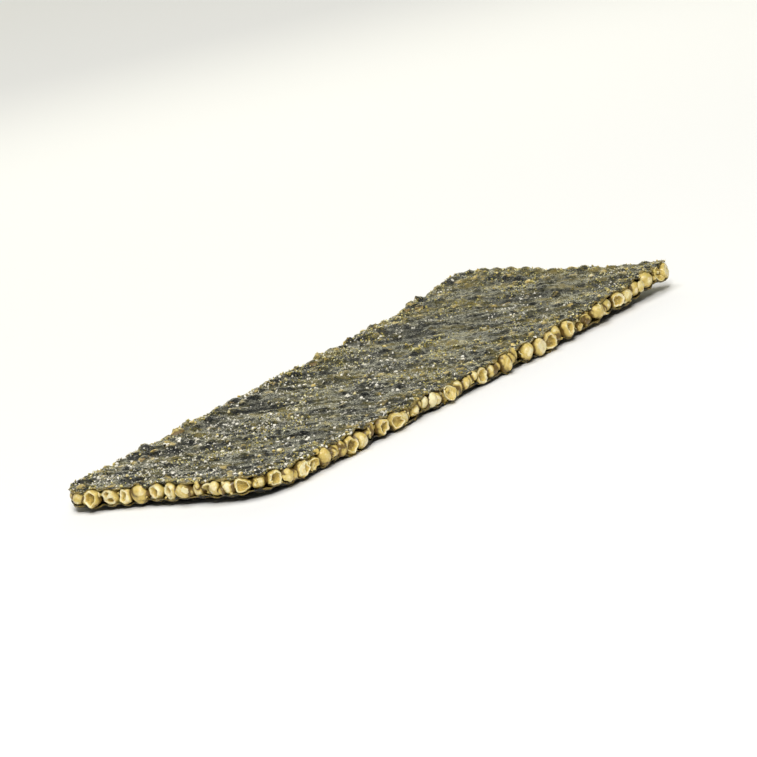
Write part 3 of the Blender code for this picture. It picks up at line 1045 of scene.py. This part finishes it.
def shellRows(radius, tone, opening, shift):  # rings of points out to the torn lip, and the pole last
    tear, tearsOften = shell["tear"]
    lump, lumpsOften = shell["lumps"]
    rows = []
    for ring in range(1, shell["rings"] + 1):
        for side in range(shell["sides"]):
            angle = 2 * math.pi * side / shell["sides"]
            spot = Vector((math.cos(angle), math.sin(angle), 0)) * tearsOften + shift
            lift = opening * (1 + tear * noise.fractal(spot, *shell["tearNoise"])) * ring / shell["rings"]
            out = math.sin(lift)
            spot = Vector((out * math.cos(angle), out * math.sin(angle), math.cos(lift)))
            spot *= radius * (1 + lump * noise.noise(spot * lumpsOften + shift))
            rows.append((*spot, tone))
    return rows + [(0, 0, radius, tone)]


def capFaces(first, rings, sides):  # rings of points and a pole
    faces = turnedOver(bandFaces(first, rings, sides))
    return faces + [[first + rings * sides, first + a, first + b] for a, b in aroundRing(sides)]


def brokenShells(name, finish):
    draw = random.Random(shell["seed"])
    rings, sides = shell["rings"], shell["sides"]
    inner = rings * sides + 1
    lip = (rings - 1) * sides
    faces = capFaces(0, rings, sides) + [face[::-1] for face in capFaces(inner, rings, sides)]
    faces += [[lip + a, inner + lip + a, inner + lip + b, lip + b] for a, b in aroundRing(sides)]
    bits = []
    for place, outward in roundTheEdge(shell, draw):
        if nearCutGrain(place, shell["clearOfCut"]):
            continue
        size = draw.uniform(*shell["sizes"])
        shift = ownNoise(draw)
        opening = draw.uniform(*shell["openings"])
        centre = place + outward * (draw.uniform(*shell["depths"]) * mm - size * shell["setBack"])
        level = draw.uniform(-1, 1) * (halfLayer - size) * shell["levels"]
        level = middleHeight(centre.x, centre.y) + level
        facing = Vector((outward.x, outward.y, 0)) * draw.choice((-1, -1, 1))
        facing += Vector(threeDraws(draw, -shell["lean"], shell["lean"]))
        turn = np.array(facing.to_track_quat("Z", "Y").to_matrix())
        rows = shellRows(size, shell["outerTone"], opening, shift)
        inside = shell["outerTone"] + shell["innerTone"]
        rows = np.array(rows + shellRows(size - shell["thickness"], inside, opening, shift))
        sunk = facing.normalized() * size * shell["sunk"]
        points = rows[:, :3] @ turn.T - sunk + (centre.x, centre.y, level)
        bits.append((points, faces, rows[:, 3] + draw.uniform(*shell["tones"])))
    return joined(name, bits, finish)


# The syrup-soaked middle, behind the grains that show, toned dark for the syrup and as painted shade among
# the inner grains
soaked = {
    "cells": (90, 30),
    "inset": 3.4 * mm,
    "height": 1.9 * mm,
    "lumpHeight": 0.12 * mm,
    "lumpSize": 1.3 * mm,
    # dark: syrup, and painted shade among the inner grains
    "tone": 0.75,
}


def syrupAndShadeCore(name, finish):
    along, across = soaked["cells"]
    points = []
    for side in (1, -1):
        for i in range(along + 1):
            for j in range(across + 1):
                x, y = plan(2 * i / along - 1, 2 * j / across - 1, soaked["inset"])
                lump = soaked["lumpHeight"] * noise.noise(Vector((x, y, side * mm)) / soaked["lumpSize"])
                points.append((x, y, middleHeight(x, y) + side * (soaked["height"] / 2 + lump)))
    columns = across + 1
    count = (along + 1) * columns
    faces = gridFaces(0, along, across) + [face[::-1] for face in gridFaces(count, along, across)]
    rim = [i * columns + j for i, j in gridRim(along, across)]
    faces += [[b, a, a + count, b + count] for a, b in zip(rim, rim[1:] + rim[:1])]
    return meshPiece(name, points, faces, finish, {"toastAndShade": [soaked["tone"]] * len(points)})


# Golden crumbs stuck on the upper sheet, more of them by the edge
looseCrumb = {
    "count": 120,
    "subdivisions": 3,
    "sizes": (0.25 * mm, 0.8 * mm),
    "sizePower": 1.8,
    "shapes": ((0.7, 1.1), (0.8, 1.4), (0.6, 1.1)),
    "tilt": 0.5,
    "edgeReach": 2.5 * mm,
    "insideShare": 0.28,
    "tones": (0.0, 0.55),
    "seed": 31,
}


def looseCrumbs(name, surface, finish):
    ball, ballFaces = ballTemplate(looseCrumb["subdivisions"])
    draw = random.Random(looseCrumb["seed"])
    along, across = surface.shape[0] - 1, surface.shape[1] - 1
    bits = []
    while len(bits) < looseCrumb["count"]:
        u, v = draw.random(), draw.random()
        edge = min(u, 1 - u) * snack["length"], min(v, 1 - v) * snack["width"]
        if draw.random() > (1.0 if min(edge) < looseCrumb["edgeReach"] else looseCrumb["insideShare"]):
            continue
        size = mostlySmall(looseCrumb["sizes"], looseCrumb["sizePower"], draw)
        shape = np.array([draw.uniform(*span) for span in looseCrumb["shapes"]]) * size / 2
        tilt = Matrix.Rotation(draw.uniform(-looseCrumb["tilt"], looseCrumb["tilt"]), 3, "X")
        spin = np.array(Matrix.Rotation(draw.uniform(0, fullTurn), 3, "Z") @ tilt)
        crumb = (ball * broken(ball, draw)[:, None] * shape) @ spin.T
        crumb += surface[round(u * along), round(v * across)]
        bits.append((crumb, ballFaces, np.full(len(ball), draw.uniform(*looseCrumb["tones"]))))
    return joined(name, bits, finish)


# White crystals of seasoning on the upper sheet, more of them at the near end
seasoning = {
    "count": 1900,
    "sizes": (0.16 * mm, 0.50 * mm),
    "share": 0.66,
    "clustering": 0.7,
    "clusterSize": 7 * mm,
    "patchSize": 1.9 * mm,
    "farChange": -0.75,
    "edgeChange": 0.0,
    "seed": 5,
}

# Golden dust of the grains, more of it towards the far end and along the edges
grainDust = {
    "count": 3900,
    "sizes": (0.12 * mm, 0.36 * mm),
    "share": 0.25,
    "clustering": 1.3,
    "clusterSize": 9 * mm,
    "patchSize": 3.6 * mm,
    "farChange": 0.15,
    "edgeChange": 0.9,
    "seed": 15,
    "colours": {"pale": (0.88, 0.82, 0.47), "amber": (0.58, 0.485, 0.125)},
}

# What the crystals and the dust have in common
shard = {
    "kinds": 24,
    "corners": 11,
    "patchiness": 1.8,
    "edgeReach": 6 * mm,
    "sizePower": 2.2,
    "shapes": (0.6, 1.35),
    "tilt": 1.2,
    "standing": 0.15,
    "tones": (0.0, 0.6),
}


def shardTemplate(draw):  # a bit with a few uneven faces
    builder = bmesh.new()
    for _ in range(shard["corners"]):
        builder.verts.new(threeDraws(draw, -1, 1))
    hull = bmesh.ops.convex_hull(builder, input=builder.verts[:])
    bmesh.ops.delete(builder, geom=hull["geom_interior"], context="VERTS")
    return template(builder)


def scattered(name, surface, finish, kind):
    draw = random.Random(kind["seed"])
    shards = [shardTemplate(draw) for _ in range(shard["kinds"])]
    along, across = surface.shape[0] - 1, surface.shape[1] - 1
    elsewhere = Vector((kind["seed"], 0, 0))
    bits = []
    while len(bits) < kind["count"]:
        i, j = draw.randrange(1, along), draw.randrange(1, across)
        spot = Vector(surface[i, j])
        cluster = noise.noise(spot / kind["clusterSize"] + elsewhere)
        patch = shard["patchiness"] * noise.noise(spot / kind["patchSize"] + elsewhere)
        share = kind["share"] + kind["clustering"] * cluster + kind["farChange"] * i / along
        edge = min(min(i, along - i) / along * snack["length"], min(j, across - j) / across * snack["width"])
        share += kind["edgeChange"] * eased(1 - edge / shard["edgeReach"])
        if draw.random() > share * (1 + patch):
            continue
        eastward = Vector(surface[i + 1, j] - surface[i - 1, j])
        northward = Vector(surface[i, j + 1] - surface[i, j - 1])
        normal = eastward.cross(northward).normalized()
        size = mostlySmall(kind["sizes"], shard["sizePower"], draw)
        shape = [size / 2 * draw.uniform(*shard["shapes"]) for _ in range(3)]
        spin = Matrix.Rotation(draw.uniform(0, fullTurn), 3, "Z")
        turn = np.array(spin @ Matrix.Rotation(draw.uniform(0, shard["tilt"]), 3, "X"))
        corners, sides = draw.choice(shards)
        points = (corners * shape) @ turn.T + np.array(spot + normal * size * shard["standing"])
        bits.append((points, sides, np.full(len(corners), draw.uniform(*shard["tones"]))))
    return joined(name, bits, finish, smooth=False)


seaweedSkin = seaweedFinish()
puffedSkin = grainFinish("puffedGrain", puffed)
dustSkin = grainFinish("grainDust", {**puffed, **grainDust["colours"]})
topSeaweed, topSurface = seaweedSheet(
    "top_seaweed", 1, sheet["upperCells"], snack["upperFolds"], snack["upperRags"], sheet["upperSeed"],
    seaweedSkin)
bottomSeaweed, _ = seaweedSheet(
    "bottom_seaweed", -1, sheet["lowerCells"], snack["lowerFolds"], snack["lowerRags"], sheet["lowerSeed"],
    seaweedSkin)
print("seaweed sheets laid over the grains")

wholeRow = wholeGrains("whole_grains", whole, puffedSkin, subdivisions=4, seed=21)
slicedRow = slicedGrains("sliced_grains", cutOpen, puffedSkin, seed=22)
innerRow = wholeGrains("inner_grains", secondRow, puffedSkin, subdivisions=3, seed=23)
smallGrains = wholeGrains("small_grains", smallOnes, puffedSkin, subdivisions=3, seed=24)
crumbs = edgeCrumbs("edge_crumbs", puffedSkin)
shells = brokenShells("broken_shells", puffedSkin)
core = syrupAndShadeCore("syrup_and_shade_core", puffedSkin)
print("puffed grains made")

looseBits = looseCrumbs("loose_crumbs", topSurface, puffedSkin)
dust = scattered("grain_dust", topSurface, dustSkin, grainDust)
crystals = scattered("seasoning_crystals", topSurface, crystalFinish(), seasoning)
print("seasoning scattered")

grainPieces = [wholeRow, slicedRow, innerRow, smallGrains, crumbs, shells, core, looseBits, dust]
for piece in [topSeaweed, bottomSeaweed, crystals, *grainPieces]:
    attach(piece, "root")
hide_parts("top_sheet")
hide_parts("bottom_sheet")
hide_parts("grain_layer")

# Camera at the photo's viewing angle, nearer to the piece
camera = {
    "place": Vector((-0.6149, -0.4935, 0.1653)),
    "up": Vector((0.3281, -0.036, 0.944)),
    "aim": Vector((0.0, -0.001, 0.0025)),
    "lens": 285.0,
    "clip": (0.01, 20),
}

# A pale floor under soft lights, each with its place, width, height, watts and colour
studio = {
    "floor": (0.88, 0.88, 0.87),
    "floorLighter": (0.8976, 0.8976, 0.8874),
    "floorClouds": ((400, 400, 400), 3),
    "floorGlossSpan": (0.3, 0.7),
    "floorRoughness": (0.75, 0.85),
    "floorDrop": 0.02 * mm,
    "floorReach": 4.0,
    "world": (0.97, 0.98, 1.0),
    "worldStrength": 0.10,
    "lights": {
        "backStrip": ((0.83, 0.68, 0.23), 1.5, 0.20, 3.0, (0.98, 0.955, 0.70)),
        "farSoftbox": ((0.24, 0.19, 0.14), 0.30, 0.10, 0.115, (0.98, 0.96, 0.78)),
        "topSoftbox": ((-0.05, 0.1, 0.9), 0.7, 0.7, 4.9, (1.0, 1.0, 1.0)),
        "keySoftbox": ((-0.60, -0.50, 0.70), 0.35, 0.35, 8.3, (1.0, 0.99, 0.965)),
    },
}


def aimed(place, target, up=Vector((0, 0, 1))):
    forward = (target - place).normalized()
    right = forward.cross(up).normalized()
    turned = Matrix((right, right.cross(forward), -forward)).transposed().to_4x4()
    return Matrix.Translation(place) @ turned


def setCamera():
    lens = bpy.data.cameras.new("camera")
    lens.lens = camera["lens"]
    lens.clip_start, lens.clip_end = camera["clip"]
    viewer = added("camera", lens)
    viewer.matrix_world = aimed(camera["place"], camera["aim"], camera["up"])
    bpy.context.scene.camera = viewer


def setLights():
    for name, (place, width, height, watts, colour) in studio["lights"].items():
        lamp = bpy.data.lights.new(name, "AREA")
        lamp.shape = "RECTANGLE"
        lamp.size, lamp.size_y = width, height
        lamp.energy, lamp.color = watts, colour
        added(name, lamp).matrix_world = aimed(Vector(place), Vector((0, 0, 0)))
    world = bpy.data.worlds.new("paleStudio")
    world.use_nodes = True
    background = world.node_tree.nodes["Background"].inputs
    background["Color"].default_value = (*studio["world"], 1)
    background["Strength"].default_value = studio["worldStrength"]
    bpy.context.scene.world = world
    bpy.context.scene.view_settings.view_transform = "Standard"


def setFloor():
    finish, tree, shader = newFinish("paleFloor", Metallic=0.0)
    cloud = spots(tree, *studio["floorClouds"])
    gloss = between(tree, cloud, studio["floorGlossSpan"], studio["floorRoughness"])
    pale = mixed(tree, cloud, studio["floor"], studio["floorLighter"])
    fed(finish, shader, Base_Color=pale, Roughness=gloss)
    reach = studio["floorReach"]
    corners = [(-reach, -reach, 0), (reach, -reach, 0), (reach, reach, 0), (-reach, reach, 0)]
    floor = meshPiece("floor", corners, [[0, 1, 2, 3]], finish)
    floor.location.z = -studio["floorDrop"]
    floor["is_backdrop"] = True


setCamera()
setLights()
setFloor()
print("camera, lights and floor set")

sizes = {"model": modelBox, "visual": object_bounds()}
{name: [list(corner) for corner in box] for name, box in sizes.items()}
